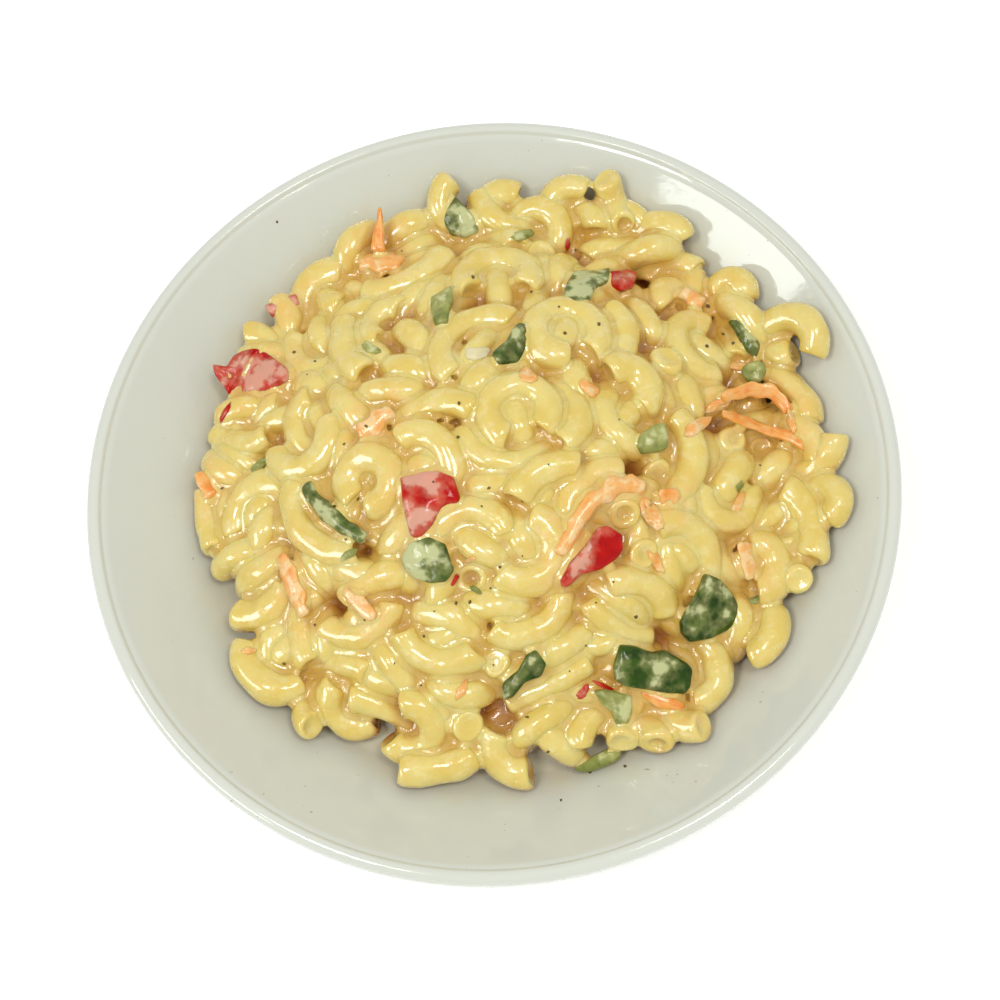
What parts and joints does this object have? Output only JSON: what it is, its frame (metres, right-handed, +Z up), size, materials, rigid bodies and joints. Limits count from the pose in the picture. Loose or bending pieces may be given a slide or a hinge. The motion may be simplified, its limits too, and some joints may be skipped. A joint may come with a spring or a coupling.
{
  "type": "dish of macaroni salad",
  "caption": "Creamy elbow macaroni salad with green and red pepper and grated carrot, heaped in a shallow white glazed dish with a foot ring.",
  "frame": {"origin": "middle of the dish's foot ring, on the surface that the dish stands on", "axes": "+Z up out of the dish; the front of the heap, nearest to the picture's camera, is at -Y"},
  "size_m": [0.22, 0.22, 0.0499],
  "materials": {
    "white_glaze": "glossy white glaze, slightly warm",
    "dressed_macaroni": "pale yellow pasta, wet with a thin creamy dressing",
    "green_pepper": "wet, waxy green skin",
    "red_pepper": "wet red flesh and skin",
    "carrot": "moist orange shreds"
  },
  "bodies": {
    "root": {"dish": "white_glaze", "macaroni": "dressed_macaroni", "green_back_tip": "green_pepper", "green_by_ring": "green_pepper", "green_coated": "green_pepper", "green_dark_front": "green_pepper", "green_dark_middle": "green_pepper", "green_dark_right": "green_pepper", "green_folded": "green_pepper", "green_long_left": "green_pepper", "green_on_dish": "green_pepper", "green_pale_front": "green_pepper", "green_pale_right": "green_pepper", "green_small_right": "green_pepper", "green_twisted": "green_pepper", "green_under_ring": "green_pepper", "red_back": "red_pepper", "red_back_left": "red_pepper", "red_bright": "red_pepper", "red_coated": "red_pepper", "red_folded_left": "red_pepper", "carrot_back_right": "carrot", "carrot_band": "carrot", "carrot_base": "carrot", "carrot_coated": "carrot", "carrot_curl": "carrot", "carrot_front_strip": "carrot", "carrot_left_edge": "carrot", "carrot_left_short": "carrot", "carrot_left_strip": "carrot", "carrot_loop_far": "carrot", "carrot_loop_near": "carrot", "carrot_right_strip": "carrot", "carrot_spike": "carrot"}
  },
  "joints": []
}
